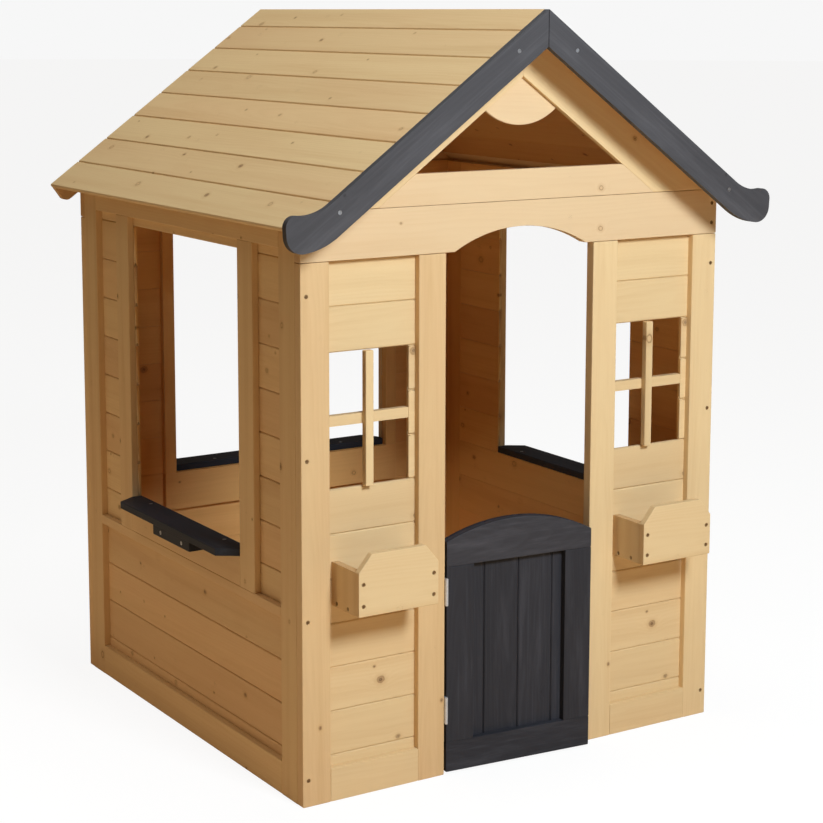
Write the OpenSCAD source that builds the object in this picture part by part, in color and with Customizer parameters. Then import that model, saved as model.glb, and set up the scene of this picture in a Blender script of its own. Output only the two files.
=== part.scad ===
// Child's timber playhouse: four boarded walls with open windows, a boarded
// gable roof with painted barge boards, two planters, window shelves and a
// framed half door on a pair of butt hinges.
// Millimetres, +Z up. The front (door) faces -Y. The origin is on the ground,
// under the centre of the whole object.

/* [House] */
// Width across the front, outside the corner posts
house_w = 972; // [900:4:1100]
// Depth of the walls, front face to rear face
house_d = 984; // [940:4:1100]
// Cover height of one tongue-and-groove wall board
course = 85; // [80:1:90]
// Courses below the front and rear headers
wall_courses = 12; // [12:1:13]

/* [Timber sizes] */
// Thickness of the tongue-and-groove boards
board_t = 8; // [7:1:12]
// Thickness of the trim battens
trim_t = 14; // [12:1:18]
// Width of the trim battens and of the posts
trim_w = 60; // [50:1:70]
// Height of the bottom rails
rail_h = 65; // [60:1:75]
// Height of the side walls' top rails
top_rail_h = 68; // [55:1:75]
// Depth of the headers
header_h = 90; // [80:1:100]
// Depth of the rafters, square to the slope
rafter_h = 94; // [80:1:100]
// Depth of the V edge on each board
vee = 2.2; // [1:0.2:3]
// Gap left between neighbouring boards
board_gap = 0.5; // [0.3:0.1:1]

/* [Doorway and door] */
// Clear width between the door posts
doorway_w = 346; // [330:2:370]
// Rise of the arch cut in the front header
arch_rise = 41; // [30:1:50]
// Width of the arch at the header's lower edge
arch_w = 307; // [280:1:320]
// Width of the door
door_w = 327; // [320:1:328]
// Height of the door's underside above the ground
door_clear = 4; // [3:1:10]
// Lower edge of the door's top rail
door_rail_z = 414; // [380:2:440]
// Highest point of the door's arched top
door_top_z = 495; // [460:1:520]
// Radius of the door's arched top
door_arch_r = 378; // [330:2:420]
// How far the arch's high point lies from the door's middle, toward the hinges
door_arch_shift = 11; // [0:1:12]
// Cover width of one door board
door_board_w = 77; // [70:1:85]
// Angle at which the door stands ajar
door_ajar = 4.7; // [0:0.1:30]

/* [Hinges] */
// Height of a butt hinge
hinge_h = 52; // [45:1:60]
// Outer radius of a hinge knuckle
knuckle_r = 3.2; // [3:0.1:4]
// Radius of the hinge pin
hinge_pin_r = 1.5; // [1.2:0.1:2]
// Radial running clearance round the pin
pin_clear = 0.05; // [0.03:0.01:0.1]
// Thickness of a hinge leaf
leaf_t = 1.2; // [1:0.1:1.5]
// Gap between the door's edge and its post
door_gap = 4; // [3.4:0.1:5]

/* [Windows] */
// Course on which a front window stands
front_sill_course = 7; // [6:1:8]
// Courses left out for a front window
front_window_courses = 3; // [2:1:3]
// Board left showing between a front window and the next post on its right
front_window_margin = 14; // [8:1:20]
// Width of the upright bar in a front window
bar_w = 17; // [14:1:22]
// Height of the crossbar in a front window
crossbar_h = 20; // [16:1:26]
// Course on which the side and rear windows stand
side_sill_course = 5; // [4:1:6]
// Width of each side window
side_window_w = 494; // [440:2:520]
// Width of the rear window
rear_window_w = 560; // [480:2:580]
// Height of the strips that run under the windows from post to post
sill_strip_h = 20; // [15:1:25]
// Width of the battens beside the rear window on the inside
inner_batten_w = 28; // [20:1:35]

/* [Shelves] */
// Thickness of a window shelf
shelf_t = 15; // [12:1:20]
// Reach of a shelf beyond the outer wall face
shelf_out = 40; // [30:1:60]
// Cut-off along the length at a shelf's outer corners
shelf_cut = 26; // [15:1:35]
// Length of the block under a shelf
block_len = 168; // [120:2:220]
// Height of the block under a shelf
block_h = 20; // [15:1:30]
// Distance of the block from the shelf's middle, toward the front
block_shift = 20; // [0:1:40]

/* [Planters] */
// Width of a planter
planter_w = 172; // [150:2:180]
// Reach of a planter's front board beyond the wall face
planter_out = 85; // [80:1:110]
// Height of a planter's sides
planter_h = 83; // [75:1:95]
// Height of a planter's front board
planter_front_h = 116; // [100:1:125]
// Thickness of a planter's front board
planter_front_t = 14; // [12:1:20]
// Width of the cut-off at the upper corners of a planter's front board
planter_cut_w = 28; // [20:1:40]
// Height of that cut-off
planter_cut_h = 33; // [20:1:40]
// Height of a planter's underside above the ground
planter_z = 376; // [340:1:400]

/* [Roof] */
// Pitch of the roof in degrees
pitch = 36; // [33:1:38]
// Height of the ridge
ridge_z = 1471; // [1440:1:1500]
// Length of a roof slope from ridge to eave
slope_len = 654; // [640:1:670]
// Cover width of one roof board
roof_course = 84; // [80:1:90]
// Roof overhang beyond the front and rear walls
roof_over = 65; // [50:1:70]
// Depth of the battens under the roof's front and rear edges
roof_batten_d = 42; // [30:1:45]
// Distance at which the front battens stop short of the eaves
front_batten_short = 44; // [30:1:50]
// Depth of a barge board, square to the slope
barge_d = 56; // [50:1:60]
// Radius of the lower corner of a barge board's hooked end
hook_low_r = 32; // [28:1:36]
// Radius of the upper corner of that end
hook_top_r = 21; // [16:1:26]
// Height of the board between the header and the open gable
gable_board_h = 60; // [50:1:70]
// Radius of the half-round gusset under the ridge
gusset_r = 128; // [110:1:140]
// Depth of the gusset below the point where the rafters meet
gusset_drop = 92; // [80:1:105]
// Distance of the gusset's face behind the rafters' faces
gusset_set = 8; // [0:1:14]

/* [Screws] */
// Radius of a screw's shank
screw_r = 2; // [1.5:0.1:2.5]
// Radius of a countersunk screw head
head_r = 4; // [3:0.1:5]
// Depth to which the heads are sunk in the bare timber
head_sink = 1.2; // [0.5:0.1:2]

/* [Hidden] */

// The colours of the finishes
honey = [0.87, 0.73, 0.52];
honey_side = [0.80, 0.64, 0.42];
charcoal = [0.24, 0.24, 0.26];
zinc = [0.78, 0.79, 0.80];
dark_steel = [0.35, 0.31, 0.27];

// The wall box
wall_t = trim_t + board_t;
half_w = house_w / 2;
y_front = planter_out - (planter_out + house_d + roof_over) / 2;
y_rear = y_front + house_d;
header_z = wall_courses * course;
header_top = header_z + header_h;

// Roof lines: the underside of the boards, and the lower edge of the rafters
roof_under_z = ridge_z - board_t / cos(pitch);
rafter_low_z = ridge_z - (board_t + rafter_h) / cos(pitch);
side_top = roof_under_z - half_w * tan(pitch);
top_course_h = side_top - header_z;
roof_y1 = y_front - roof_over;
roof_y2 = y_rear + roof_over;

// The front wall's bays, measured along the wall from its left edge
panel_w = (house_w - doorway_w - 4 * trim_w) / 2;
left_bay = [trim_w, trim_w + panel_w];
right_bay = [house_w - trim_w - panel_w, house_w - trim_w];
door_post_x = [left_bay[1], right_bay[0] - trim_w];
front_sill_z = front_sill_course * course;
front_window_h = front_window_courses * course;
window_bar_shift = 4;

// The side and rear windows
sill_z = side_sill_course * course;
sill_rail_z = sill_z - trim_w;
side_rail_z = side_top - top_rail_h;

// The hooked end of a barge board, in a slope's frame. Its two corners are round
// about hook_top and hook_low. A hollow sweep leads up to them from the straight
// upper edge, and a full belly leads down to the straight lower edge.
hook_top = [slope_len + 2, 10];
hook_low = [slope_len + 1, -9];
hook_turn = atan2(hook_low[1] - hook_top[1], hook_low[0] - hook_top[0])
    + acos((hook_top_r - hook_low_r) / norm(hook_low - hook_top));
sweep_a = slope_len - 76;
sweep_r = (pow(hook_top[0] - sweep_a, 2) + pow(hook_top[1], 2) - pow(hook_top_r, 2))
    / (2 * (hook_top[1] + hook_top_r));
sweep_turn = atan2(hook_top[1] - sweep_r, hook_top[0] - sweep_a);
belly_a = slope_len - 56;
belly_r = (pow(hook_low[0] - belly_a, 2) + pow(hook_low[1] + barge_d, 2) - pow(hook_low_r, 2))
    / (2 * (hook_low[1] + barge_d - hook_low_r));
belly_mid = [belly_a, belly_r - barge_d];
belly_turn = atan2(hook_low[1] - belly_mid[1], hook_low[0] - belly_mid[0]);

// The arches
header_arch_r = (pow(arch_w / 2, 2) + pow(arch_rise, 2)) / (2 * arch_rise);
gusset_mid_z = rafter_low_z - gusset_drop + gusset_r;

// The door's hinge axis, and the door's own edges
hinge_x = -doorway_w / 2 + door_gap / 2;
hinge_y = y_front - knuckle_r - 0.2;
door_x1 = -doorway_w / 2 + door_gap;
door_x2 = door_x1 + door_w;
hinge_zs = [104, 340];
knuckle_h = hinge_h / 5;

// The screws
corner_screw_z = [51, 355, 657, 959, header_z + 22, header_z + 62];
screw_inset = trim_t - 2;
corner_screw_len = 50;
barge_screw_a = [99, slope_len - 82];
barge_screw_n = -23;
barge_screw_len = 24;
shelf_screw_u = 169;
shelf_screw_len = 42;
block_screw_u = 48;
block_screw_len = 50;
planter_front_screws = [20, 61];
planter_screw_inset = 10;
planter_side_screws = [-5, -45];
planter_screw_len = 40;

// Sides of the circles: small bores and heads, and long arcs
round_fn = 32;
arc_fn = 120;

// Half of the joint where a left and a right piece meet under the ridge, and
// half of the wider one between the painted barge boards
mitre_gap = 0.1;
barge_gap = 0.7;

// The joints under and over a header stand open by this much
butt_gap = 0.8;

// ---------------------------------------------------------------- placing

// Each wall is drawn in its own frame: X runs along the wall from its left or
// front edge, Y runs inward from the outer face, Z is up.
module on_front() { translate([-half_w, y_front, 0]) children(); }
module on_rear() { translate([-half_w, y_rear, 0]) mirror([0, 1, 0]) children(); }
module on_left() { translate([-half_w, y_front, 0]) mirror([1, -1, 0]) children(); }
module on_right() { mirror([1, 0, 0]) on_left() children(); }

// A roof slope's frame: X runs down the slope from the ridge, Z is square to it
module on_right_slope() { translate([0, 0, ridge_z]) rotate([0, pitch, 0]) children(); }
module on_left_slope() { mirror([1, 0, 0]) on_right_slope() children(); }

// A plane shape in X and Z, given a thickness from y1 to y2
module along_y(y1, y2) { translate([0, y2, 0]) rotate([90, 0, 0]) linear_extrude(y2 - y1) children(); }

// A plane shape in Y and Z, given a length from x1 to x2
module along_x(x1, x2) { translate([x1, 0, 0]) rotate([90, 0, 90]) linear_extrude(x2 - x1) children(); }

// In a slope's frame: everything on that slope's side of the ridge's middle plane
module own_side(gap = mitre_gap) {
    intersection() {
        children();
        rotate([0, -pitch, 0]) translate([gap, -2 * house_d, -house_w])
            cube([2 * house_w, 4 * house_d, 2 * house_w]);
    }
}

// The door at its resting angle
module door_at_rest() {
    translate([hinge_x, hinge_y, 0]) rotate([0, 0, -door_ajar])
        translate([-hinge_x, -hinge_y, 0]) children();
}

// ---------------------------------------------------------------- timber

// A batten or post: a box from one corner to the other
module timber(x1, x2, y1, y2, z1, z2) {
    translate([x1, y1, z1]) cube([x2 - x1, y2 - y1, z2 - z1]);
}

// Section of a tongue-and-groove board: X into the wall, Y up the wall
module board_section(h, tongue = true, groove = true) {
    tongue_a = board_t * 0.34;
    tongue_b = board_t * 0.66;
    tongue_h = 5;
    slack = 0.25;
    top = h - board_gap;
    upper = tongue
        ? [[tongue_a + slack, top], [tongue_a + slack, h + tongue_h], [tongue_b - slack, h + tongue_h],
           [tongue_b - slack, top]]
        : [];
    lower = groove
        ? [[tongue_b, 0], [tongue_b, tongue_h + 1], [tongue_a, tongue_h + 1], [tongue_a, 0]]
        : [];
    polygon(concat([[0, vee], [0, top - vee], [vee, top]], upper, [[board_t, top], [board_t, 0]],
        lower, [[vee, 0]]));
}

// One wall board from u1 to u2 along its wall, on the given course
module wall_board(u1, u2, k, h = course, tongue = true) {
    translate([0, trim_t, k * course]) along_x(u1, u2) board_section(h, tongue, k > 0);
}

// A boarded bay with one window opening: u for the bay, w for the window
module boarded_bay(u, w, sill_course, head_course) {
    for (k = [0 : wall_courses - 1]) {
        open = k >= sill_course && k < head_course;
        last = k == sill_course - 1 || k == wall_courses - 1;
        if (!open) wall_board(u[0], u[1], k, tongue = !last);
        if (open && w[0] > u[0]) wall_board(u[0], w[0], k, tongue = k < wall_courses - 1);
        if (open && w[1] < u[1]) wall_board(w[1], u[1], k, tongue = k < wall_courses - 1);
    }
}

// ---------------------------------------------------------------- screws

// A countersunk wood screw driven along +Y, its head at the origin
module wood_screw(len) {
    rotate([-90, 0, 0]) difference() {
        union() {
            cylinder(h = head_r - screw_r, r1 = head_r, r2 = screw_r, $fn = round_fn);
            cylinder(h = len, r = screw_r, $fn = round_fn);
        }
        for (a = [0, 90]) rotate([0, 0, a]) translate([-head_r * 0.55, -0.5, -1]) cube([head_r * 1.1, 1, 2]);
    }
}

// The countersunk hole for that screw, with its head sunk by the given depth
module screw_hole(len, sink = 0) {
    ease = 0.1;
    rotate([-90, 0, 0]) translate([0, 0, -sink]) {
        translate([0, 0, -1]) cylinder(h = sink + 1, r = head_r + ease, $fn = round_fn);
        translate([0, 0, sink])
            cylinder(h = head_r - screw_r, r1 = head_r + ease, r2 = screw_r + ease, $fn = round_fn);
        cylinder(h = sink + len + 1, r = screw_r + ease, $fn = round_fn);
    }
}

// The screws that join a front or rear corner to the side wall, in a wall frame
module at_corner_screws(side) {
    u = side == "left" ? screw_inset : house_w - screw_inset;
    for (z = corner_screw_z) translate([u, head_sink, z]) children();
}
module corner_holes(side) { at_corner_screws(side) screw_hole(corner_screw_len, head_sink); }

module at_barge_screws() {
    for (a = barge_screw_a) translate([a, roof_y1 - trim_t, barge_screw_n]) children();
}

// Places on a window shelf, in the wall frame, measured from the window's middle
module at_shelf_screws(mid) {
    for (s = [-1, 1]) translate([mid + s * shelf_screw_u, trim_t / 2, sill_z + shelf_t])
        rotate([-90, 0, 0]) children();
}
module at_block_screws(mid) {
    for (s = [-1, 1]) translate([mid - block_shift + s * block_screw_u, -shelf_out + 2, sill_z - block_h / 2])
        children();
}

// Places on a planter, in the front wall's frame, measured from its middle
module at_planter_front_screws(mid) {
    for (s = [-1, 1], z = planter_front_screws)
        translate([mid + s * (planter_w / 2 - planter_screw_inset), head_sink - planter_out, planter_z + z])
            children();
}
module at_planter_side_screws(mid) {
    for (s = [-1, 1], y = planter_side_screws)
        translate([mid + s * (planter_w / 2 - head_sink), y, planter_z + trim_t / 2])
            rotate([0, 0, s * 90]) children();
}
left_planter_mid = (left_bay[0] + left_bay[1]) / 2;
right_planter_mid = (right_bay[0] + right_bay[1]) / 2;

// ---------------------------------------------------------------- walls

module front_left_boards() {
    color(honey) on_front() boarded_bay(left_bay, [left_bay[0], left_bay[1] - front_window_margin],
        front_sill_course, front_sill_course + front_window_courses);
}

module front_right_boards() {
    color(honey) on_front() boarded_bay(right_bay, [right_bay[0], right_bay[1] - front_window_margin],
        front_sill_course, front_sill_course + front_window_courses);
}

// A side wall's boards run between its two posts, over and under the window
module side_boards() {
    ends = [wall_t + trim_w, house_d - wall_t - trim_w];
    mid = house_d / 2;
    boarded_bay(ends, [mid - side_window_w / 2, mid + side_window_w / 2], side_sill_course, wall_courses);
    wall_board(ends[0], ends[1], wall_courses, h = top_course_h, tongue = false);
}
module left_wall_boards() { color(honey_side) on_left() side_boards(); }
module right_wall_boards() { color(honey_side) on_right() side_boards(); }

module rear_wall_boards() {
    mid = house_w / 2;
    color(honey_side) on_rear() boarded_bay([trim_w, house_w - trim_w],
        [mid - rear_window_w / 2, mid + rear_window_w / 2], side_sill_course, wall_courses);
}

// A corner post of the front or rear wall, in that wall's frame
module corner_post(side) {
    u = side == "left" ? 0 : house_w - trim_w;
    difference() {
        timber(u, u + trim_w, 0, wall_t, 0, header_z - butt_gap);
        corner_holes(side);
    }
}
module front_left_corner_post() { color(honey) on_front() corner_post("left"); }
module front_right_corner_post() { color(honey) on_front() corner_post("right"); }
module rear_left_corner_post() { color(honey_side) on_rear() corner_post("left"); }
module rear_right_corner_post() { color(honey_side) on_rear() corner_post("right"); }

module door_post(k) {
    timber(door_post_x[k], door_post_x[k] + trim_w, 0, wall_t, 0, header_z - butt_gap);
}
module left_door_post() { color(honey) on_front() door_post(0); }
module right_door_post() { color(honey) on_front() door_post(1); }

// The two posts at the ends of a side wall, pierced by the corner screws
module side_posts() {
    difference() {
        for (u = [wall_t, house_d - wall_t - trim_w]) timber(u, u + trim_w, 0, wall_t, 0, side_top);
        for (z = corner_screw_z, end = [0, 1]) {
            translate([end * house_d, screw_inset, z]) mirror([end, 0, 0]) rotate([0, 0, -90])
                translate([0, head_sink, 0]) screw_hole(corner_screw_len, head_sink);
        }
    }
}
module left_wall_posts() { color(honey_side) on_left() side_posts(); }
module right_wall_posts() { color(honey_side) on_right() side_posts(); }

module front_bottom_rails() {
    color(honey) on_front() for (bay = [left_bay, right_bay]) timber(bay[0], bay[1], 0, trim_t, 0, rail_h);
}
module rear_bottom_rail() {
    color(honey_side) on_rear() timber(trim_w, house_w - trim_w, 0, trim_t, 0, rail_h);
}
module side_rail(z1, z2) { timber(wall_t + trim_w, house_d - wall_t - trim_w, 0, trim_t, z1, z2); }
module side_bottom_rails() {
    color(honey_side) {
        on_left() side_rail(0, rail_h);
        on_right() side_rail(0, rail_h);
    }
}
module side_top_rails() {
    color(honey_side) {
        on_left() side_rail(side_rail_z, side_top);
        on_right() side_rail(side_rail_z, side_top);
    }
}

// A header across the front or rear, its upper corners cut to the roof
module header_shape() {
    polygon([[-half_w, header_z], [half_w, header_z], [half_w, side_top],
        [(roof_under_z - header_top) / tan(pitch), header_top],
        [-(roof_under_z - header_top) / tan(pitch), header_top], [-half_w, side_top]]);
}
module header_arch() {
    translate([0, header_z + arch_rise - header_arch_r]) circle(r = header_arch_r, $fn = arc_fn);
}
module front_header() {
    color(honey) difference() {
        along_y(y_front, y_front + wall_t) difference() {
            header_shape();
            header_arch();
        }
        on_front() {
            corner_holes("left");
            corner_holes("right");
        }
    }
}
module rear_header() {
    color(honey_side) difference() {
        along_y(y_rear - wall_t, y_rear) header_shape();
        on_rear() {
            corner_holes("left");
            corner_holes("right");
        }
    }
}

// The board that closes the foot of the gable, its ends cut along the rafters
module gable_board(y1) {
    foot = header_top + butt_gap;
    top = header_top + gable_board_h;
    foot_x = (rafter_low_z - foot) / tan(pitch);
    top_x = (rafter_low_z - top) / tan(pitch);
    along_y(y1, y1 + trim_t) polygon([[-foot_x, foot], [foot_x, foot], [top_x, top], [-top_x, top]]);
}
module front_gable_board() { color(honey) gable_board(y_front); }
module rear_gable_board() { color(honey_side) gable_board(y_rear - trim_t); }

// ---------------------------------------------------------------- windows

// The two flat stiles that cover the board ends beside a window
module window_stiles(mid, w, bottom, top) {
    for (s = [-1, 1]) {
        edge = mid + s * w / 2;
        timber(min(edge, edge + s * trim_w), max(edge, edge + s * trim_w), 0, trim_t, bottom, top);
    }
}
module left_window_stiles() {
    color(honey_side) on_left()
        window_stiles(house_d / 2, side_window_w, sill_rail_z, side_rail_z);
}
module right_window_stiles() {
    color(honey_side) on_right()
        window_stiles(house_d / 2, side_window_w, sill_rail_z, side_rail_z);
}
module rear_window_stiles() {
    color(honey_side) on_rear() window_stiles(house_w / 2, rear_window_w, sill_rail_z, header_z - butt_gap);
}

// The flat rail under a window shelf, between the stiles
module sill_rail(mid, w) {
    difference() {
        timber(mid - w / 2, mid + w / 2, 0, trim_t, sill_rail_z, sill_z);
        at_shelf_screws(mid) screw_hole(shelf_screw_len);
        at_block_screws(mid) screw_hole(block_screw_len);
    }
}
module window_sill_rails() {
    color(honey_side) {
        on_left() sill_rail(house_d / 2, side_window_w);
        on_right() sill_rail(house_d / 2, side_window_w);
        on_rear() sill_rail(house_w / 2, rear_window_w);
    }
}

// The strip on which the stiles and the sill rail of a window stand
module window_sill_strips() {
    z1 = sill_rail_z - sill_strip_h;
    color(honey_side) {
        on_left() side_rail(z1, sill_rail_z);
        on_right() side_rail(z1, sill_rail_z);
        on_rear() timber(trim_w, house_w - trim_w, 0, trim_t, z1, sill_rail_z);
    }
}

// The battens and the board that frame the rear window on the inside of the wall
module inner_window_battens() {
    mid = house_w / 2;
    color(honey_side) on_rear() for (s = [-1, 1]) {
        edge = mid + s * rear_window_w / 2;
        timber(min(edge, edge + s * inner_batten_w), max(edge, edge + s * inner_batten_w),
            wall_t, wall_t + trim_t, sill_z, header_z);
    }
}
module inner_sill_board() {
    mid = house_w / 2;
    half = rear_window_w / 2 + inner_batten_w;
    color(honey_side) on_rear()
        timber(mid - half, mid + half, wall_t, wall_t + trim_t, sill_z - course, sill_z);
}

// The upright bar of each front window stands just in front of the boards, and the
// crossbar behind it holds it
module window_uprights() {
    color(honey) on_front() for (bay = [left_bay, right_bay]) {
        mid = (bay[0] + bay[1] - front_window_margin) / 2 - window_bar_shift;
        timber(mid - bar_w / 2, mid + bar_w / 2, 0, trim_t, front_sill_z, front_sill_z + front_window_h);
    }
}

// The crossbar of each front window lies behind the upright, in the opening
module window_crossbars() {
    mid_z = front_sill_z + front_window_h / 2;
    color(honey) on_front() for (bay = [left_bay, right_bay])
        timber(bay[0] + 1, bay[1] - front_window_margin, trim_t, 2 * trim_t, mid_z - crossbar_h / 2,
            mid_z + crossbar_h / 2);
}

// ---------------------------------------------------------------- shelves

// A painted shelf in the foot of a window, flush with the wall's inner face, its
// outer corners cut off
module shelf(mid, w) {
    half = w / 2 - 1;
    difference() {
        translate([mid, 0, sill_z]) linear_extrude(shelf_t)
            polygon([[-half, wall_t], [half, wall_t], [half, -2], [half - shelf_cut, -shelf_out],
                [shelf_cut - half, -shelf_out], [-half, -2]]);
        at_shelf_screws(mid) screw_hole(shelf_screw_len);
    }
}
module left_shelf() { color(charcoal) on_left() shelf(house_d / 2, side_window_w); }
module right_shelf() { color(charcoal) on_right() shelf(house_d / 2, side_window_w); }
module rear_shelf() { color(charcoal) on_rear() shelf(house_w / 2, rear_window_w); }

// The block that holds a shelf up from below
module shelf_block(mid) {
    u = mid - block_shift;
    difference() {
        timber(u - block_len / 2, u + block_len / 2, 2 - shelf_out, 0, sill_z - block_h, sill_z);
        at_block_screws(mid) screw_hole(block_screw_len);
    }
}
module shelf_blocks() {
    color(charcoal) {
        on_left() shelf_block(house_d / 2);
        on_right() shelf_block(house_d / 2);
        on_rear() shelf_block(house_w / 2);
    }
}

// ---------------------------------------------------------------- planters

// The planters hang in the front bays, against the boards
module planter_front(mid) {
    half = planter_w / 2;
    low = planter_front_h - planter_cut_h;
    difference() {
        translate([mid, 0, planter_z]) along_y(-planter_out, planter_front_t - planter_out)
            polygon([[-half, 0], [half, 0], [half, low], [half - planter_cut_w, planter_front_h],
                [planter_cut_w - half, planter_front_h], [-half, low]]);
        at_planter_front_screws(mid) screw_hole(planter_screw_len, head_sink);
    }
}
module planter_sides(mid) {
    difference() {
        for (s = [-1, 1]) {
            edge = mid + s * planter_w / 2;
            timber(min(edge, edge - s * trim_t), max(edge, edge - s * trim_t),
                planter_front_t - planter_out, trim_t, planter_z, planter_z + planter_h);
        }
        at_planter_front_screws(mid) screw_hole(planter_screw_len, head_sink);
        at_planter_side_screws(mid) screw_hole(planter_screw_len, head_sink);
    }
}
module planter_floor(mid) {
    half = planter_w / 2 - trim_t;
    difference() {
        timber(mid - half, mid + half, planter_front_t - planter_out, trim_t, planter_z,
            planter_z + trim_t);
        at_planter_side_screws(mid) screw_hole(planter_screw_len, head_sink);
    }
}
module left_planter_front() { color(honey) on_front() planter_front(left_planter_mid); }
module left_planter_sides() { color(honey_side) on_front() planter_sides(left_planter_mid); }
module left_planter_floor() { color(honey_side) on_front() planter_floor(left_planter_mid); }
module right_planter_front() { color(honey) on_front() planter_front(right_planter_mid); }
module right_planter_sides() { color(honey_side) on_front() planter_sides(right_planter_mid); }
module right_planter_floor() { color(honey_side) on_front() planter_floor(right_planter_mid); }

// ---------------------------------------------------------------- roof

// A rafter lies under the roof boards and stands on the header
module right_rafter(y1) {
    foot = header_top + butt_gap;
    outer_x = (roof_under_z - foot) / tan(pitch);
    inner_x = (rafter_low_z - foot) / tan(pitch);
    mitre_drop = mitre_gap * tan(pitch);
    along_y(y1, y1 + trim_t)
        polygon([[mitre_gap, roof_under_z - mitre_drop], [outer_x, foot], [inner_x, foot],
            [mitre_gap, rafter_low_z - mitre_drop]]);
}
module left_rafter(y1) { mirror([1, 0, 0]) right_rafter(y1); }
module front_left_rafter() { color(honey) left_rafter(y_front); }
module front_right_rafter() { color(honey) right_rafter(y_front); }
module rear_rafters() {
    color(honey_side) {
        left_rafter(y_rear - trim_t);
        right_rafter(y_rear - trim_t);
    }
}

// The half-round gusset fitted in the angle under the two rafters
module gusset(y1) {
    foot_z = gusset_mid_z - gusset_r;
    foot_x = gusset_drop / tan(pitch);
    along_y(y1, y1 + board_t) intersection() {
        translate([0, gusset_mid_z]) circle(r = gusset_r, $fn = arc_fn);
        polygon([[0, rafter_low_z], [foot_x, foot_z], [-foot_x, foot_z]]);
    }
}
module front_gusset() { color(honey) gusset(y_front + gusset_set); }
module rear_gusset() { color(honey_side) gusset(y_rear - gusset_set - board_t); }

// One slope's boards, laid from the eave up; the one at the ridge is ripped down
module slope_boards() {
    full = floor((slope_len - 1) / roof_course);
    rest = slope_len - full * roof_course;
    for (k = [0 : full - 1])
        translate([slope_len - k * roof_course, 0, 0]) along_y(roof_y1, roof_y2)
            mirror([1, 1]) board_section(roof_course, k < full, k > 0);
    own_side() translate([rest, 0, 0]) along_y(roof_y1, roof_y2)
        mirror([1, 1]) board_section(rest + 2 * board_t, false, true);
}
module left_roof_boards() { color(honey) on_left_slope() slope_boards(); }
module right_roof_boards() { color(honey) on_right_slope() slope_boards(); }

// A batten under each end of the roof boards, its lower corner rounded
module slope_batten(y1, end) {
    corner_r = 16;
    low = -board_t - roof_batten_d;
    own_side() along_y(y1, y1 + trim_t) difference() {
        translate([0, low]) square([end, roof_batten_d]);
        difference() {
            translate([end - corner_r, low - 1]) square([corner_r + 1, corner_r + 1]);
            translate([end - corner_r, low + corner_r]) circle(r = corner_r, $fn = round_fn);
        }
    }
}
module slope_battens() {
    slope_batten(roof_y1, slope_len - front_batten_short);
    slope_batten(roof_y2 - trim_t, slope_len);
}
module roof_battens() {
    color(honey) difference() {
        union() {
            on_left_slope() slope_battens();
            on_right_slope() slope_battens();
        }
        on_left_slope() at_barge_screws() screw_hole(barge_screw_len);
        on_right_slope() at_barge_screws() screw_hole(barge_screw_len);
    }
}

// Points along an arc about a middle, from one angle to another; the first is
// left out where the arc before it ends there
function arc(mid, r, from, to, n, first = 0) = [for (k = [first : n])
    mid + r * [cos(from + (to - from) * k / n), sin(from + (to - from) * k / n)]];

// A barge board: straight down the slope, then a hooked round end
module barge_shape() {
    polygon(concat(
        [[0, -barge_d], [0, 0]],
        arc([sweep_a, sweep_r], sweep_r, -90, sweep_turn, 10),
        arc(hook_top, hook_top_r, sweep_turn + 180, hook_turn, 14, first = 1),
        arc(hook_low, hook_low_r, hook_turn, belly_turn, 16),
        arc(belly_mid, belly_r, belly_turn, -90, 10, first = 1)
    ));
}
module slope_barge() {
    difference() {
        own_side(barge_gap) along_y(roof_y1 - trim_t, roof_y1) barge_shape();
        at_barge_screws() screw_hole(barge_screw_len);
    }
}
module left_barge_board() { color(charcoal) on_left_slope() slope_barge(); }
module right_barge_board() { color(charcoal) on_right_slope() slope_barge(); }

// ---------------------------------------------------------------- door

door_low_z = door_clear;
door_bottom_top = door_clear + trim_w;

// The arched outline of the door's upper end, as a plane shape in X and Z
module door_arch() {
    mid = (door_x1 + door_x2) / 2 - door_arch_shift;
    translate([mid, door_top_z - door_arch_r]) circle(r = door_arch_r, $fn = arc_fn);
}
module door_top_rail() {
    color(charcoal) door_at_rest() along_y(y_front, y_front + trim_t) intersection() {
        translate([door_x1, door_rail_z]) square([door_w, door_top_z - door_rail_z]);
        door_arch();
    }
}
module door_bottom_rail() {
    color(charcoal) door_at_rest()
        timber(door_x1, door_x2, y_front, y_front + trim_t, door_low_z, door_bottom_top);
}
module door_stiles() {
    color(charcoal) door_at_rest() for (x = [door_x1, door_x2 - trim_w])
        timber(x, x + trim_w, y_front, y_front + trim_t, door_bottom_top, door_rail_z);
}

// The upright boards behind the door's frame, cut to the arch at the top
module door_boards() {
    first = door_x1 + door_board_w + trim_t;
    edges = [door_x1, first, first + door_board_w, first + 2 * door_board_w, door_x2];
    color(charcoal) door_at_rest() for (k = [0 : len(edges) - 2]) intersection() {
        translate([edges[k], y_front + trim_t, 0]) linear_extrude(door_top_z)
            translate([edges[k + 1] - edges[k], 0]) rotate(90)
            board_section(edges[k + 1] - edges[k], false, false);
        along_y(y_front, y_front + 2 * wall_t) intersection() {
            translate([door_x1, door_low_z]) square([door_w, door_top_z - door_low_z]);
            door_arch();
        }
    }
}

// ---------------------------------------------------------------- hinges

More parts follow.
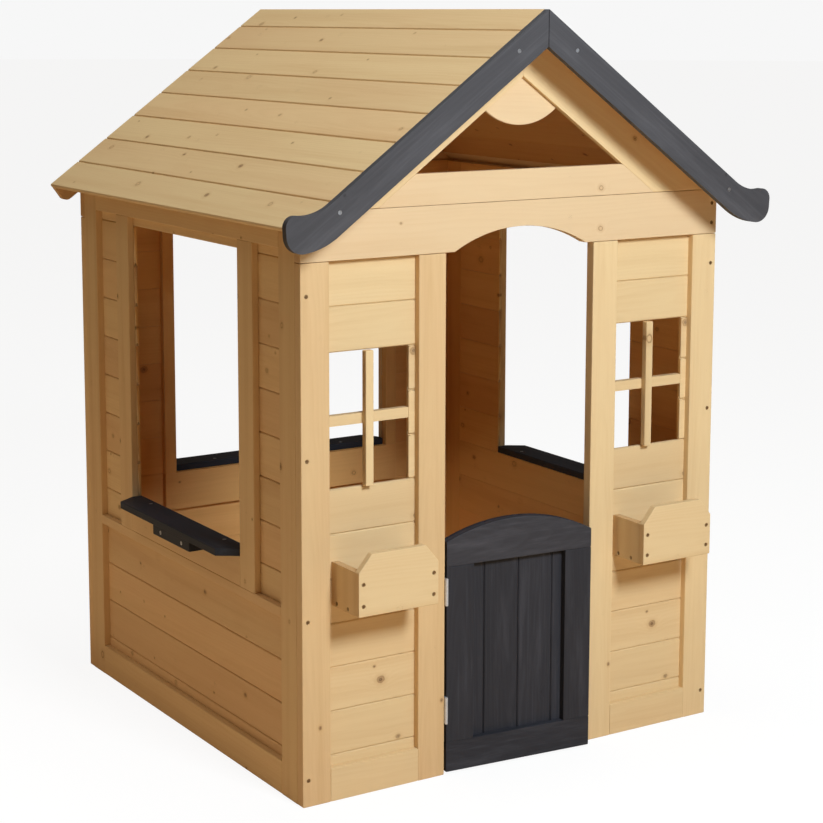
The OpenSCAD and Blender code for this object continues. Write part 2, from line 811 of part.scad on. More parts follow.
// One leaf of a butt hinge with its share of the knuckles, from z = 0 up.
// The leaf lies in the gap beside the door, on the side given by x_side.
module hinge_leaf(x_side, knuckles) {
    leaf_d = 20;
    gap = 0.15;
    leaf_x = x_side < 0 ? -door_gap / 2 : door_gap / 2 - leaf_t;
    difference() {
        union() {
            translate([leaf_x, knuckle_r + 0.4, 0]) cube([leaf_t, leaf_d, hinge_h]);
            for (k = knuckles) translate([0, 0, k * knuckle_h + gap]) {
                cylinder(h = knuckle_h - 2 * gap, r = knuckle_r, $fn = round_fn);
                translate([leaf_x, 0, 0]) cube([leaf_t, knuckle_r + 1, knuckle_h - 2 * gap]);
            }
        }
        translate([0, 0, -1]) cylinder(h = hinge_h + 2, r = hinge_pin_r + pin_clear, $fn = round_fn);
    }
}
module at_hinges() { for (z = hinge_zs) translate([hinge_x, hinge_y, z]) children(); }
module hinge_post_leaves() { color(zinc) at_hinges() hinge_leaf(-1, [0, 2, 4]); }
module hinge_door_leaves() {
    color(zinc) at_hinges() rotate([0, 0, -door_ajar]) hinge_leaf(1, [1, 3]);
}
module hinge_pins() {
    color(zinc) at_hinges() {
        cylinder(h = hinge_h, r = hinge_pin_r, $fn = round_fn);
        for (z = [-1, hinge_h]) translate([0, 0, z]) cylinder(h = 1, r = hinge_pin_r + 0.9, $fn = round_fn);
    }
}

// ---------------------------------------------------------------- screws

module timber_screws() {
    color(dark_steel) {
        on_front() for (side = ["left", "right"]) at_corner_screws(side) wood_screw(corner_screw_len);
        on_rear() for (side = ["left", "right"]) at_corner_screws(side) wood_screw(corner_screw_len);
        on_front() for (mid = [left_planter_mid, right_planter_mid]) {
            at_planter_front_screws(mid) wood_screw(planter_screw_len);
            at_planter_side_screws(mid) wood_screw(planter_screw_len);
        }
    }
}
module trim_screws() {
    color(zinc) {
        on_left_slope() at_barge_screws() wood_screw(barge_screw_len);
        on_right_slope() at_barge_screws() wood_screw(barge_screw_len);
        for (side = [0, 1]) mirror([side, 0, 0]) on_left() {
            at_shelf_screws(house_d / 2) wood_screw(shelf_screw_len);
            at_block_screws(house_d / 2) wood_screw(block_screw_len);
        }
        on_rear() {
            at_shelf_screws(house_w / 2) wood_screw(shelf_screw_len);
            at_block_screws(house_w / 2) wood_screw(block_screw_len);
        }
    }
}

// ---------------------------------------------------------------- drawing

front_left_boards();
front_right_boards();
left_wall_boards();
right_wall_boards();
rear_wall_boards();
front_left_corner_post();
front_right_corner_post();
left_door_post();
right_door_post();
rear_left_corner_post();
rear_right_corner_post();
left_wall_posts();
right_wall_posts();
front_bottom_rails();
rear_bottom_rail();
side_bottom_rails();
front_header();
rear_header();
front_gable_board();
rear_gable_board();
side_top_rails();
left_window_stiles();
right_window_stiles();
rear_window_stiles();
window_sill_rails();
window_sill_strips();
window_uprights();
window_crossbars();
inner_window_battens();
inner_sill_board();
left_shelf();
right_shelf();
rear_shelf();
shelf_blocks();
left_planter_front();
left_planter_sides();
left_planter_floor();
right_planter_front();
right_planter_sides();
right_planter_floor();
front_left_rafter();
front_right_rafter();
rear_rafters();
front_gusset();
rear_gusset();
left_roof_boards();
right_roof_boards();
roof_battens();
left_barge_board();
right_barge_board();
door_top_rail();
door_bottom_rail();
door_stiles();
door_boards();
hinge_post_leaves();
hinge_door_leaves();
hinge_pins();
timber_screws();
trim_screws();
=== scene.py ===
"""The timber playhouse as it looks: eased edges, grain and knots, charcoal paint, zinc and steel."""

import math

import bpy
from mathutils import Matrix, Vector

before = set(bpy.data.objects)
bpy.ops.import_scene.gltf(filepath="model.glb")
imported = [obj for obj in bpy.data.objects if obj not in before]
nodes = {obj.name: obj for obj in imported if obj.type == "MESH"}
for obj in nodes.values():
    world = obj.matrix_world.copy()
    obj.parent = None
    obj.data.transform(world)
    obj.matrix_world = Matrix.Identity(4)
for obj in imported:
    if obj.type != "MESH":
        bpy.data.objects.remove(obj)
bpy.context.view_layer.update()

MM = 0.001
PITCH = math.radians(36)
DOWN_SLOPE = Vector((math.cos(PITCH), 0, -math.sin(PITCH)))  # down the right-hand roof slope
OFF_SLOPE = Vector((math.sin(PITCH), 0, math.cos(PITCH)))  # square to that slope
X = Vector((1, 0, 0))
Y = Vector((0, 1, 0))
Z = Vector((0, 0, 1))

# A point in the middle of the room, and how far from it sideways and front to back a face of the
# room may lie; faces that look into the room get a painted shade, darker and warmer
ROOM_MIDDLE = (0, 0.01, 0.8)
ROOM_HALF = (0.469, 0.475)

# Edges that turn by more than this are sharp
SHARP = math.radians(28)

# How edges are eased: the shortest edge that is taken, the width of the rounding and its segments
BOARD_EDGE = (4 * MM, 0.7 * MM, 2)
CURVED_EDGE = (1.5 * MM, 1.4 * MM, 2)
BATTEN_EDGE = (11 * MM, 1.7 * MM, 3)

# The timber's pattern: the breadth of a growth ring, the plot of board that each knot may have to
# itself, and the least and the greatest radius of a knot
RING = 4.2 * MM
KNOT_PLOT = (0.150, 0.085)
KNOT_RADIUS = (1.8 * MM, 6.5 * MM)


def srgb(r, g, b):
    """An 8-bit display colour as the linear RGBA that the shaders take."""

    def linear(c):
        c /= 255
        return c / 12.92 if c <= 0.04045 else ((c + 0.055) / 1.055) ** 2.4

    return (linear(r), linear(g), linear(b), 1.0)


# ---------------------------------------------------------------- which piece is cut how

# Each group: the pieces, the way their grain runs, the way their width runs, and whether they
# come as a left and a right hand mirrored about the ridge.
CUT = [
    (("front_left_boards", "front_right_boards", "rear_wall_boards", "front_bottom_rails",
      "rear_bottom_rail", "front_header", "rear_header", "front_gable_board", "rear_gable_board",
      "front_gusset", "rear_gusset", "window_crossbars", "left_planter_front", "right_planter_front",
      "door_top_rail", "door_bottom_rail", "inner_sill_board"), X, Z, False),
    (("left_wall_boards", "right_wall_boards", "side_bottom_rails", "side_top_rails"), Y, Z, False),
    (("front_left_corner_post", "front_right_corner_post", "left_door_post", "right_door_post",
      "rear_left_corner_post", "rear_right_corner_post", "rear_window_stiles", "window_uprights",
      "inner_window_battens", "door_stiles", "door_boards"), Z, X, False),
    (("left_wall_posts", "right_wall_posts", "left_window_stiles", "right_window_stiles",
      "left_planter_sides", "right_planter_sides"), Z, Y, False),
    (("window_sill_rails", "window_sill_strips", "shelf_blocks"), Y, Z, False),
    (("left_shelf", "right_shelf"), Y, X, False),
    (("rear_shelf", "left_planter_floor", "right_planter_floor"), X, Y, False),
    (("front_left_rafter", "front_right_rafter", "rear_rafters", "roof_battens", "left_barge_board",
      "right_barge_board"), DOWN_SLOPE, OFF_SLOPE, True),
    (("left_roof_boards", "right_roof_boards"), Y, DOWN_SLOPE, True),
]

# Which pieces share a finish; all other timber is plain honey
PALE = ("front_header", "front_gable_board", "front_gusset")
PANEL = ("front_left_boards", "front_right_boards", "front_bottom_rails", "left_planter_front",
         "right_planter_front", "window_uprights", "window_crossbars", "front_left_rafter",
         "front_right_rafter", "right_door_post", "front_right_corner_post")
POST = ("front_left_corner_post", "left_door_post", "left_planter_sides", "right_planter_sides")
SIDE = ("left_wall_boards", "right_wall_boards", "rear_wall_boards")
ROOF = ("left_roof_boards", "right_roof_boards")
PAINTED = ("left_shelf", "right_shelf", "rear_shelf", "shelf_blocks")
PAINTED_DOOR = ("door_bottom_rail", "door_stiles", "door_boards")
# The door's top rail takes a lighter charcoal: a painted highlight for the light it catches from above
PAINTED_LIT_RAIL = ("door_top_rail",)
PAINTED_BARGE = ("left_barge_board", "right_barge_board")

# Which pieces are thin boards, and which are eased more finely, as arches and hooks need; all the
# others are battens
BOARDS = ("front_left_boards", "front_right_boards", "door_boards") + SIDE + ROOF
CURVED = ("front_gusset", "rear_gusset", "front_header", "rear_header", "door_top_rail") + PAINTED_BARGE


# ---------------------------------------------------------------- geometry node trees

def geometry_tree(name):
    """A geometry node tree with one geometry going in and one coming out."""
    tree = bpy.data.node_groups.new(name, "GeometryNodeTree")
    tree.interface.new_socket("Geometry", in_out="INPUT", socket_type="NodeSocketGeometry")
    tree.interface.new_socket("Geometry", in_out="OUTPUT", socket_type="NodeSocketGeometry")
    return tree, tree.nodes.new("NodeGroupInput"), tree.nodes.new("NodeGroupOutput")


def add(tree, kind, inputs=None, **settings):
    """A new node, with its settings and its inputs: a socket is linked, and anything else is a value."""
    node = tree.nodes.new(kind)
    for key, value in settings.items():
        setattr(node, key, value)
    for key, value in (inputs or {}).items():
        if isinstance(value, bpy.types.NodeSocket):
            tree.links.new(value, node.inputs[key])
        else:
            node.inputs[key].default_value = value
    return node


def maths(tree, operation, *values):
    """The result of a sum on single values."""
    return add(tree, "ShaderNodeMath", dict(enumerate(values)), operation=operation).outputs[0]


def vector_maths(tree, operation, *values, output=0):
    """The result of a sum on vectors; output 1 is the one that is a single value."""
    node = add(tree, "ShaderNodeVectorMath", dict(enumerate(values)), operation=operation)
    return node.outputs[output]


def edge_tree(shortest):
    """Joins the mesh up, and marks each sharp edge over the given length to be eased."""
    tree, start, end = geometry_tree(f"eased_edges_{round(shortest / MM)}")
    merged = add(tree, "GeometryNodeMergeByDistance", {"Geometry": start.outputs[0], "Distance": 0.01 * MM})
    bare = add(tree, "GeometryNodeRemoveAttribute", {"Geometry": merged.outputs[0], "Name": "custom_normal"})
    angle = add(tree, "GeometryNodeInputMeshEdgeAngle").outputs["Unsigned Angle"]
    ends = add(tree, "GeometryNodeInputMeshEdgeVertices").outputs
    length = vector_maths(tree, "DISTANCE", ends["Position 1"], ends["Position 2"], output=1)
    sharp = add(tree, "FunctionNodeCompare", {"A": angle, "B": SHARP}, operation="GREATER_THAN")
    long = add(tree, "FunctionNodeCompare", {"A": length, "B": shortest}, operation="GREATER_THAN")
    both = add(tree, "FunctionNodeBooleanMath", {0: sharp.outputs[0], 1: long.outputs[0]}, operation="AND")
    smooth = add(tree, "GeometryNodeSetShadeSmooth", {"Geometry": bare.outputs[0]}, domain="FACE")
    only_short = add(tree, "FunctionNodeBooleanMath", {0: sharp.outputs[0], 1: both.outputs[0]},
                     operation="NIMPLY")
    creased = add(tree, "GeometryNodeStoreNamedAttribute",
                  {"Geometry": smooth.outputs[0], "Name": "sharp_edge", "Value": only_short.outputs[0]},
                  data_type="BOOLEAN", domain="EDGE")
    weight = add(tree, "GeometryNodeStoreNamedAttribute",
                 {"Geometry": creased.outputs[0], "Name": "bevel_weight_edge", "Value": both.outputs[0]},
                 data_type="FLOAT", domain="EDGE")
    tree.links.new(weight.outputs[0], end.inputs[0])
    return tree


def room_shade_faces(tree):
    """1 on the faces that look into the room, and 0 on all the others: where the room's painted shade goes.
    """
    place = add(tree, "GeometryNodeInputPosition").outputs[0]
    to_middle = vector_maths(tree, "SUBTRACT", ROOM_MIDDLE, place)
    flatter = vector_maths(tree, "NORMALIZE", vector_maths(tree, "MULTIPLY", to_middle, (1, 1, 0.6)))
    normal = add(tree, "GeometryNodeInputNormal").outputs[0]
    facing = vector_maths(tree, "DOT_PRODUCT", normal, flatter, output=1)
    turned = maths(tree, "GREATER_THAN", facing, 0.3)
    away = add(tree, "ShaderNodeSeparateXYZ", {0: vector_maths(tree, "ABSOLUTE", to_middle)})
    within_x = maths(tree, "LESS_THAN", away.outputs[0], ROOM_HALF[0])
    within_y = maths(tree, "LESS_THAN", away.outputs[1], ROOM_HALF[1])
    return maths(tree, "MULTIPLY", turned, maths(tree, "MULTIPLY", within_x, within_y))


def grain_tree(name, along, across, mirrored):
    """Gives every solid its own coordinates, X along the grain and Y across the width, and a seed."""
    tree, start, end = geometry_tree(name)
    place = add(tree, "GeometryNodeInputPosition").outputs[0]
    facing = add(tree, "GeometryNodeInputNormal").outputs[0]
    if mirrored:
        x = add(tree, "ShaderNodeSeparateXYZ", {0: place}).outputs[0]
        hand = add(tree, "ShaderNodeCombineXYZ", {0: maths(tree, "SIGN", x), 1: 1.0, 2: 1.0}).outputs[0]
        place = vector_maths(tree, "MULTIPLY", place, hand)
        facing = vector_maths(tree, "MULTIPLY", facing, hand)
    axes = (along, across, along.cross(across))
    local = add(tree, "ShaderNodeCombineXYZ",
                {k: vector_maths(tree, "DOT_PRODUCT", place, a, output=1) for k, a in enumerate(axes)})
    island = add(tree, "GeometryNodeInputMeshIsland").outputs["Island Index"]
    total = add(tree, "GeometryNodeAccumulateField", {"Value": local.outputs[0], "Group ID": island},
                data_type="FLOAT_VECTOR", domain="POINT").outputs["Total"]
    count = add(tree, "GeometryNodeAccumulateField", {"Value": 1.0, "Group ID": island},
                data_type="FLOAT", domain="POINT").outputs["Total"]
    inverse = maths(tree, "DIVIDE", 1.0, count)
    middle = add(tree, "ShaderNodeVectorMath", {0: total, "Scale": inverse}, operation="SCALE").outputs[0]
    centred = vector_maths(tree, "SUBTRACT", local.outputs[0], middle)
    draws = {"ID": island, "Seed": sum(map(ord, name)) % 997}
    seed = add(tree, "FunctionNodeRandomValue", draws, data_type="FLOAT").outputs[1]
    end_on = maths(tree, "ABSOLUTE", vector_maths(tree, "DOT_PRODUCT", facing, along, output=1))
    # The faces that look into the room, marked for their painted shade
    inward = room_shade_faces(tree)
    flow = start.outputs[0]
    for label, value, kind, domain in (("grain", centred, "FLOAT_VECTOR", "POINT"),
                                       ("seed", seed, "FLOAT", "POINT"),
                                       ("end_on", end_on, "FLOAT", "FACE"),
                                       ("inward", inward, "FLOAT", "FACE")):
        store = add(tree, "GeometryNodeStoreNamedAttribute",
                    {"Geometry": flow, "Name": label, "Value": value}, data_type=kind, domain=domain)
        flow = store.outputs[0]
    tree.links.new(flow, end.inputs[0])
    return tree


def ease_edges(piece, marked, width, segments):
    """Rounds the marked edges of a CAD piece, as a plane and sandpaper do."""
    marks = piece.modifiers.new("mark_edges", "NODES")
    marks.node_group = marked
    bevel = piece.modifiers.new("eased_edges", "BEVEL")
    bevel.width = width
    bevel.segments = segments
    bevel.limit_method = "WEIGHT"
    bevel.use_clamp_overlap = True
    bevel.profile = 0.5
    normals = piece.modifiers.new("flat_faces", "WEIGHTED_NORMAL")
    normals.keep_sharp = True
    normals.weight = 100


# ---------------------------------------------------------------- shader helpers

def new_material(name):
    """A material, its node tree and its shader."""
    material = bpy.data.materials.new(name)
    material.use_nodes = True
    return material, material.node_tree, material.node_tree.nodes["Principled BSDF"]


def attribute(tree, name, output):
    return add(tree, "ShaderNodeAttribute", attribute_name=name).outputs[output]


def noise(tree, vector, scale, detail, roughness):
    inputs = {"Vector": vector, "Scale": scale, "Detail": detail, "Roughness": roughness}
    return add(tree, "ShaderNodeTexNoise", inputs).outputs["Fac"]


def stretched(tree, vector, x, y, z):
    """The vector with its three parts scaled, to draw a texture out along the grain."""
    return vector_maths(tree, "MULTIPLY", vector, (x, y, z))


def length_of(tree, one, other):
    """The length of the long side of a right-angled triangle."""
    squares = maths(tree, "ADD", maths(tree, "POWER", one, 2.0), maths(tree, "POWER", other, 2.0))
    return maths(tree, "SQRT", squares)


def step(tree, value, low, high):
    """0 below low, 1 above high, and smooth between; low may be the greater."""
    node = add(tree, "ShaderNodeMapRange", {"Value": value, "From Min": low, "From Max": high},
               interpolation_type="SMOOTHSTEP")
    return node.outputs[0]


def spread(tree, value, low, high):
    """A value from 0 to 1, moved to run from low to high."""
    return add(tree, "ShaderNodeMapRange", {"Value": value, "To Min": low, "To Max": high}).outputs[0]


def blend(tree, share, one, other, mode="MIX"):
    """A colour that goes from one to the other as the share goes from 0 to 1."""
    node = add(tree, "ShaderNodeMix", data_type="RGBA", blend_type=mode)
    for key, value in ((0, share), (6, one), (7, other)):
        if isinstance(value, bpy.types.NodeSocket):
            tree.links.new(value, node.inputs[key])
        else:
            node.inputs[key].default_value = value
    return node.outputs[2]


def layer(tree, base, mask, share, colour):
    """The base with a colour laid over it where the mask is 1, as strongly as the share says."""
    return blend(tree, maths(tree, "MULTIPLY", mask, share), base, colour)


def pieces_of(tree, vector):
    """The three parts of a vector or a colour."""
    parts = add(tree, "ShaderNodeSeparateXYZ", {0: vector}).outputs
    return parts[0], parts[1], parts[2]


def bumped(tree, shader, height, distance, strength):
    """Lets a height pattern ruffle the surface."""
    bump = add(tree, "ShaderNodeBump", {"Height": height, "Distance": distance, "Strength": strength})
    tree.links.new(bump.outputs[0], shader.inputs["Normal"])


# ---------------------------------------------------------------- timber

class Timber:
    """The parts of a plank's pattern, worked out from its own coordinates: rings, fibres, streaks, knots."""

    def __init__(self, tree, knot_share):
        self.tree = tree
        self.grain = attribute(tree, "grain", "Vector")
        seed = attribute(tree, "seed", "Fac")
        self.end_on = attribute(tree, "end_on", "Fac")
        self.random = add(tree, "ShaderNodeTexWhiteNoise", {"W": maths(tree, "MULTIPLY", seed, 91.7)},
                          noise_dimensions="1D").outputs["Color"]
        self.chance = pieces_of(tree, self.random)
        apart = add(tree, "ShaderNodeVectorMath", {0: self.random, "Scale": 9.0}, operation="SCALE")
        self.own = vector_maths(tree, "ADD", self.grain, apart.outputs[0])
        self.heart, self.bark, self.glow, around = self.knots(knot_share)
        self.rings = self.ring_lines(around)
        self.fibres = noise(tree, stretched(tree, self.own, 9, 420, 420), 1.0, 4, 0.6)
        self.streaks = noise(tree, stretched(tree, self.own, 1.1, 34, 34), 1.0, 4, 0.6)
        self.patches = noise(tree, stretched(tree, self.own, 2.2, 7, 7), 1.0, 3, 0.5)

    def knots(self, share):
        """Each knot's dark heart, its bark line, the warm wood round it, and how far it pushes the grain."""
        tree = self.tree
        u, v, _ = pieces_of(tree, self.own)
        flat = add(tree, "ShaderNodeCombineXYZ", {0: maths(tree, "DIVIDE", u, KNOT_PLOT[0]),
                                                  1: maths(tree, "DIVIDE", v, KNOT_PLOT[1])}).outputs[0]
        voronoi = add(tree, "ShaderNodeTexVoronoi", {"Vector": flat, "Scale": 1.0}, voronoi_dimensions="2D")
        centre_u, centre_v, _ = pieces_of(tree, voronoi.outputs["Position"])
        presence, size, decay = pieces_of(tree, voronoi.outputs["Color"])
        du = maths(tree, "SUBTRACT", u, maths(tree, "MULTIPLY", centre_u, KNOT_PLOT[0]))
        dv = maths(tree, "SUBTRACT", v, maths(tree, "MULTIPLY", centre_v, KNOT_PLOT[1]))
        wobble = noise(tree, stretched(tree, self.own, 160, 160, 160), 1.0, 2, 0.5)
        far = length_of(tree, maths(tree, "MULTIPLY", du, 0.8), dv)
        far = maths(tree, "MULTIPLY", far, spread(tree, wobble, 0.75, 1.25))
        there = maths(tree, "LESS_THAN", presence, share)
        grown = spread(tree, maths(tree, "POWER", size, 2.2), *KNOT_RADIUS)
        radius = maths(tree, "MULTIPLY", grown, there)
        ratio = maths(tree, "DIVIDE", far, maths(tree, "ADD", radius, 0.02 * MM))
        heart = maths(tree, "MULTIPLY", step(tree, ratio, 0.95, 0.35), step(tree, decay, 0.2, 0.8))
        bark = maths(tree, "MULTIPLY", step(tree, ratio, 1.35, 1.05), step(tree, ratio, 0.6, 0.9))
        glow = step(tree, ratio, 3.0, 0.9)
        reach = maths(tree, "ADD", maths(tree, "MULTIPLY", radius, 3.2), 0.02 * MM)
        near = maths(tree, "DIVIDE", far, reach)
        fall = maths(tree, "EXPONENT", maths(tree, "MULTIPLY", maths(tree, "POWER", near, 2.0), -1.0))
        return heart, bark, glow, maths(tree, "MULTIPLY", fall, maths(tree, "MULTIPLY", radius, 1.6))

    def ring_lines(self, around):
        """The growth rings as the saw cut them: 0 in pale earlywood, 1 in dark latewood."""
        tree = self.tree
        u, v, w = pieces_of(tree, self.grain)
        one, two, three = self.chance
        sideways = maths(tree, "ADD", v, spread(tree, one, -0.05, 0.05))
        tilt = maths(tree, "MULTIPLY", u, spread(tree, three, -0.035, 0.035))
        depth = maths(tree, "ADD", maths(tree, "ADD", w, tilt), spread(tree, two, 0.02, 0.075))
        from_pith = length_of(tree, sideways, depth)
        bend = noise(tree, stretched(tree, self.own, 2.6, 9, 9), 1.0, 3, 0.55)
        wander = maths(tree, "MULTIPLY", maths(tree, "SUBTRACT", bend, 0.5), 0.016)
        place = maths(tree, "ADD", maths(tree, "ADD", from_pith, wander), around)
        phase = maths(tree, "FRACT", maths(tree, "DIVIDE", place, RING))
        return maths(tree, "MULTIPLY", step(tree, phase, 0.2, 0.8), step(tree, phase, 1.0, 0.86))


def timber_material(name, yellow, peach, deep, knot_share=0.40, value=(0.95, 1.04),
                    inner=(1.08, 0.91, 0.64, 1), gloss=0.55):
    """Stained softwood: yellow and peach are the ends of its range of tones, deep is the latewood, inner is
    painted shade indoors.
    """
    material, tree, shader = new_material(name)
    wood = Timber(tree, knot_share)
    one, two, three = wood.chance
    by_board = maths(tree, "MULTIPLY", one, 0.55)
    lean = maths(tree, "ADD", by_board, maths(tree, "MULTIPLY", wood.patches, 0.75))
    tone = blend(tree, step(tree, lean, 0.25, 1.0), yellow, peach)
    streaked = layer(tree, tone, step(tree, wood.streaks, 0.42, 0.75), 0.26, deep)
    ringed = layer(tree, streaked, wood.rings, spread(tree, two, 0.01, 0.09), deep)
    fibred = layer(tree, ringed, step(tree, wood.fibres, 0.5, 0.8), 0.12, deep)
    warmed = layer(tree, fibred, wood.glow, 0.22, srgb(178, 124, 70))
    barked = layer(tree, warmed, wood.bark, 0.55, srgb(128, 82, 46))
    knotted = layer(tree, barked, wood.heart, 0.8, srgb(96, 60, 34))
    toned = add(tree, "ShaderNodeHueSaturation",
                {"Color": knotted, "Value": spread(tree, three, *value)}).outputs[0]
    cut_ends = layer(tree, toned, step(tree, wood.end_on, 0.9, 0.97), 0.35, srgb(186, 136, 82))
    # Faces that look into the room are multiplied by inner: a painted shade, darker and warmer, for the dim
    # inside of the room
    room_shaded = blend(tree, attribute(tree, "inward", "Fac"), cut_ends, inner, "MULTIPLY")
    tree.links.new(room_shaded, shader.inputs["Base Color"])
    tree.links.new(spread(tree, wood.fibres, gloss - 0.06, gloss + 0.10), shader.inputs["Roughness"])
    height = maths(tree, "ADD", maths(tree, "MULTIPLY", wood.fibres, 0.5),
                   maths(tree, "MULTIPLY", wood.rings, 0.35))
    height = maths(tree, "SUBTRACT", height, maths(tree, "MULTIPLY", wood.bark, 0.7))
    bumped(tree, shader, height, 0.16 * MM, 0.7)
    shader.inputs["Specular IOR Level"].default_value = 0.3
    return material


def painted_material(name, colour, streak, gloss=0.56):
    """Charcoal paint thinned over the grain: the fibres show as faint pale lines, and pale mottled streaks
    are partly wear and partly a painted sheen.
    """
    material, tree, shader = new_material(name)
    wood = Timber(tree, 0.3)
    one, two, _ = wood.chance
    streaks = noise(tree, stretched(tree, wood.own, 3.0, 150, 150), 1.0, 5, 0.65)
    sheen_and_wear_noise = noise(tree, stretched(tree, wood.own, 4.5, 38, 38), 1.0, 4, 0.6)
    darker = blend(tree, 0.5, colour, (0.004, 0.004, 0.005, 1))
    lined = layer(tree, colour, step(tree, streaks, 0.46, 0.86), spread(tree, two, 0.3, 0.7), streak)
    ringed = layer(tree, lined, wood.rings, 0.08, streak)
    cloudy = layer(tree, ringed, step(tree, wood.patches, 0.35, 0.75), 0.3, darker)
    # Pale mottled streaks: partly wear of the paint and partly a painted sheen
    sheen_and_wear = layer(tree, cloudy, step(tree, sheen_and_wear_noise, 0.48, 0.78), 0.45, streak)
    knotted = layer(tree, sheen_and_wear, wood.heart, 0.5, (0.012, 0.011, 0.011, 1))
    toned = add(tree, "ShaderNodeHueSaturation", {"Color": knotted, "Value": spread(tree, one, 0.9, 1.12)})
    tree.links.new(toned.outputs[0], shader.inputs["Base Color"])
    tree.links.new(spread(tree, streaks, gloss - 0.08, gloss + 0.14), shader.inputs["Roughness"])
    height = maths(tree, "ADD", maths(tree, "MULTIPLY", wood.fibres, 0.5),
                   maths(tree, "MULTIPLY", wood.rings, 0.15))
    bumped(tree, shader, height, 0.3 * MM, 0.8)
    shader.inputs["Specular IOR Level"].default_value = 0.25
    return material


def metal_material(name, colour, dark, roughness, metallic=1.0):
    """Plated steel with a faint mottle and fine scratches."""
    material, tree, shader = new_material(name)
    place = add(tree, "ShaderNodeTexCoord").outputs["Object"]
    mottle = noise(tree, place, 420.0, 4, 0.6)
    scratch = noise(tree, stretched(tree, place, 900, 900, 140), 1.0, 2, 0.5)
    tree.links.new(blend(tree, step(tree, mottle, 0.35, 0.8), colour, dark), shader.inputs["Base Color"])
    tree.links.new(spread(tree, scratch, roughness - 0.08, roughness + 0.14), shader.inputs["Roughness"])
    bumped(tree, shader, scratch, 0.03 * MM, 0.5)
    shader.inputs["Metallic"].default_value = metallic
    return material


honey = timber_material("honey_timber", srgb(233, 203, 152), srgb(228, 190, 142), srgb(196, 148, 92))
post_honey = timber_material("post_honey_timber",
                             srgb(227, 198, 150), srgb(222, 186, 140), srgb(190, 145, 92))
panel_honey = timber_material("panel_honey_timber",
                              srgb(236, 210, 163), srgb(231, 202, 156), srgb(206, 165, 112))
pale_honey = timber_material("pale_honey_timber",
                             srgb(234, 209, 170), srgb(229, 200, 160), srgb(208, 168, 118))
side_honey = timber_material("side_honey_timber",
                             srgb(237, 206, 154), srgb(229, 190, 141), srgb(196, 148, 92),
                             knot_share=0.66, value=(0.92, 1.06))
# The roof's inner is darker still: painted shade on the underside that is seen from the room
roof_honey = timber_material("roof_honey_timber",
                             srgb(236, 206, 156), srgb(231, 193, 145), srgb(198, 150, 95),
                             inner=(0.80, 0.61, 0.40, 1))
charcoal = painted_material("charcoal_timber", srgb(47, 48, 55), srgb(74, 75, 83))
charcoal_grey = painted_material("charcoal_grey", srgb(77, 77, 82), srgb(104, 104, 110))
# A lighter copy of the door's charcoal, a painted highlight on the top rail for the light from above
charcoal_lit_rail = painted_material("charcoal_lit_rail", srgb(57, 57, 63), srgb(86, 86, 93))
charcoal_dark = painted_material("charcoal_dark", srgb(40, 45, 55), srgb(64, 69, 80))
zinc = metal_material("bright_zinc", srgb(226, 233, 246), srgb(198, 205, 218), 0.36, metallic=0.6)
screw_zinc = metal_material("screw_zinc", srgb(196, 200, 208), srgb(150, 153, 160), 0.4)
screw_tan = metal_material("screw_tan", srgb(168, 140, 104), srgb(120, 94, 64), 0.42, metallic=0.75)


# ---------------------------------------------------------------- dressing the pieces

FINISH = {}
for names, material in ((PALE, pale_honey), (PANEL, panel_honey), (POST, post_honey), (SIDE, side_honey),
                        (ROOF, roof_honey), (PAINTED, charcoal_dark), (PAINTED_DOOR, charcoal),
                        (PAINTED_LIT_RAIL, charcoal_lit_rail), (PAINTED_BARGE, charcoal_grey)):
    FINISH.update(dict.fromkeys(names, material))
METAL = {"hinge_post_leaves": zinc, "hinge_door_leaves": zinc, "hinge_pins": zinc,
         "trim_screws": screw_zinc, "timber_screws": screw_tan}


def easing(edge):
    """The tree that marks the edges to be eased, and the width and segments of their rounding."""
    shortest, width, segments = edge
    return edge_tree(shortest), width, segments


board_easing = easing(BOARD_EDGE)
batten_easing = easing(BATTEN_EDGE)
curved_easing = easing(CURVED_EDGE)

for names, along, across, mirrored in CUT:
    tree = grain_tree("grain_of_" + names[0], along, across, mirrored)
    for name in names:
        piece = nodes[name]
        if name in BOARDS:
            ease_edges(piece, *board_easing)
        elif name in CURVED:
            ease_edges(piece, *curved_easing)
        else:
            ease_edges(piece, *batten_easing)
        cut = piece.modifiers.new("grain", "NODES")
        cut.node_group = tree
        piece.data.materials[0] = FINISH.get(name, honey)

for name, material in METAL.items():
    nodes[name].data.materials[0] = material


# ---------------------------------------------------------------- camera, floor, light

def set_camera(place, turn, lens, shift_y):
    """The camera; its turn is in degrees."""
    data = bpy.data.cameras.new("camera")
    data.lens = lens
    data.sensor_width = 36
    data.shift_y = shift_y
    camera = bpy.data.objects.new("camera", data)
    camera.location = place
    camera.rotation_euler = [math.radians(angle) for angle in turn]
    bpy.context.scene.collection.objects.link(camera)
    bpy.context.scene.camera = camera


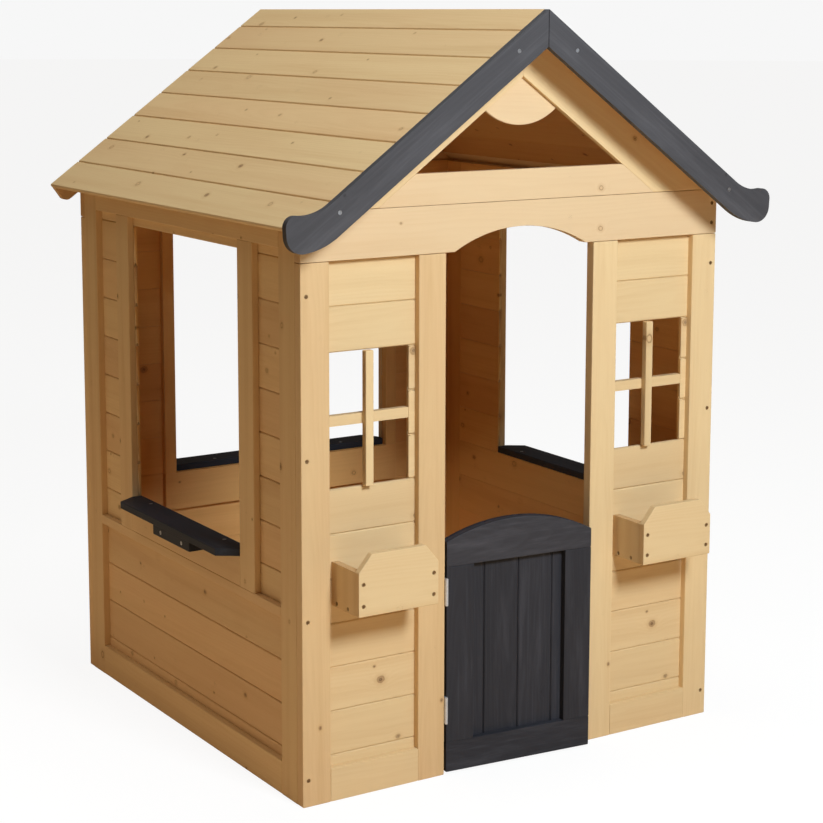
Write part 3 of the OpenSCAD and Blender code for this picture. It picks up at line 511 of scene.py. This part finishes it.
def floor_disc(radius, corners):
    """A round floor, pale to the camera, that throws a warm light back on the house."""
    mesh = bpy.data.meshes.new("floor")
    turns = [math.tau * k / corners for k in range(corners)]
    rim = [(radius * math.cos(a), radius * math.sin(a), 0) for a in turns]
    mesh.from_pydata(rim, [], [list(range(corners))])
    floor = bpy.data.objects.new("floor", mesh)
    bpy.context.scene.collection.objects.link(floor)
    material, tree, shader = new_material("pale_floor")
    seen = add(tree, "ShaderNodeLightPath").outputs["Is Camera Ray"]
    tone = blend(tree, seen, (0.80, 0.58, 0.37, 1), (0.14, 0.14, 0.14, 1))
    tree.links.new(tone, shader.inputs["Base Color"])
    shader.inputs["Roughness"].default_value = 0.9
    shader.inputs["Specular IOR Level"].default_value = 0.0
    shader.inputs["Emission Color"].default_value = (1, 1, 1, 1)
    tree.links.new(maths(tree, "MULTIPLY", seen, 0.90), shader.inputs["Emission Strength"])
    mesh.materials.append(material)


def soft_light(name, place, target, size, power, colour):
    """A lamp with a wide face, turned to its target and hidden from the camera."""
    data = bpy.data.lights.new(name, "AREA")
    data.shape = "RECTANGLE"
    data.size = size[0]
    data.size_y = size[1]
    data.energy = power
    data.color = colour
    light = bpy.data.objects.new(name, data)
    bpy.context.scene.collection.objects.link(light)
    light.visible_camera = False
    light.location = place
    light.rotation_euler = (Vector(target) - Vector(place)).to_track_quat("-Z", "Y").to_euler()


def set_backdrop(seen_by_camera, seen_by_house):
    """The studio round the house: what the camera sees of it, and the light it gives."""
    world = bpy.data.worlds.new("studio")
    bpy.context.scene.world = world
    world.use_nodes = True
    tree = world.node_tree
    seen = add(tree, "ShaderNodeLightPath").outputs["Is Camera Ray"]
    tone = blend(tree, seen, seen_by_house, seen_by_camera)
    tree.links.new(tone, tree.nodes["Background"].inputs["Color"])


set_camera(place=(-2.2109, -3.5658, 1.4627), turn=(90 - 8.319, -0.126, -32.43), lens=87.17, shift_y=-0.13)
floor_disc(radius=60, corners=96)
soft_light("key", place=(-0.06, -3.6, 2.85), target=(0, 0, 0.6), size=(0.95, 0.95),
           power=134, colour=(0.87, 0.95, 1.0))
soft_light("top", place=(0.2, 0.1, 4.6), target=(0, 0, 1.0), size=(1.6, 1.6),
           power=51, colour=(0.92, 1.0, 1.0))
soft_light("left", place=(-1.6, 0.3, 3.7), target=(-0.4, 0.1, 0.5), size=(1.4, 1.4),
           power=12, colour=(1.0, 0.90, 0.76))
soft_light("low_left", place=(-1.6, 0.35, 0.15), target=(-0.49, 0.15, 0.3), size=(1.6, 0.3),
           power=1.5, colour=(1.0, 0.74, 0.50))
set_backdrop(seen_by_camera=(0.93, 0.93, 0.93, 1), seen_by_house=(0.098, 0.072, 0.048, 1))
bpy.context.scene.view_settings.view_transform = "Standard"
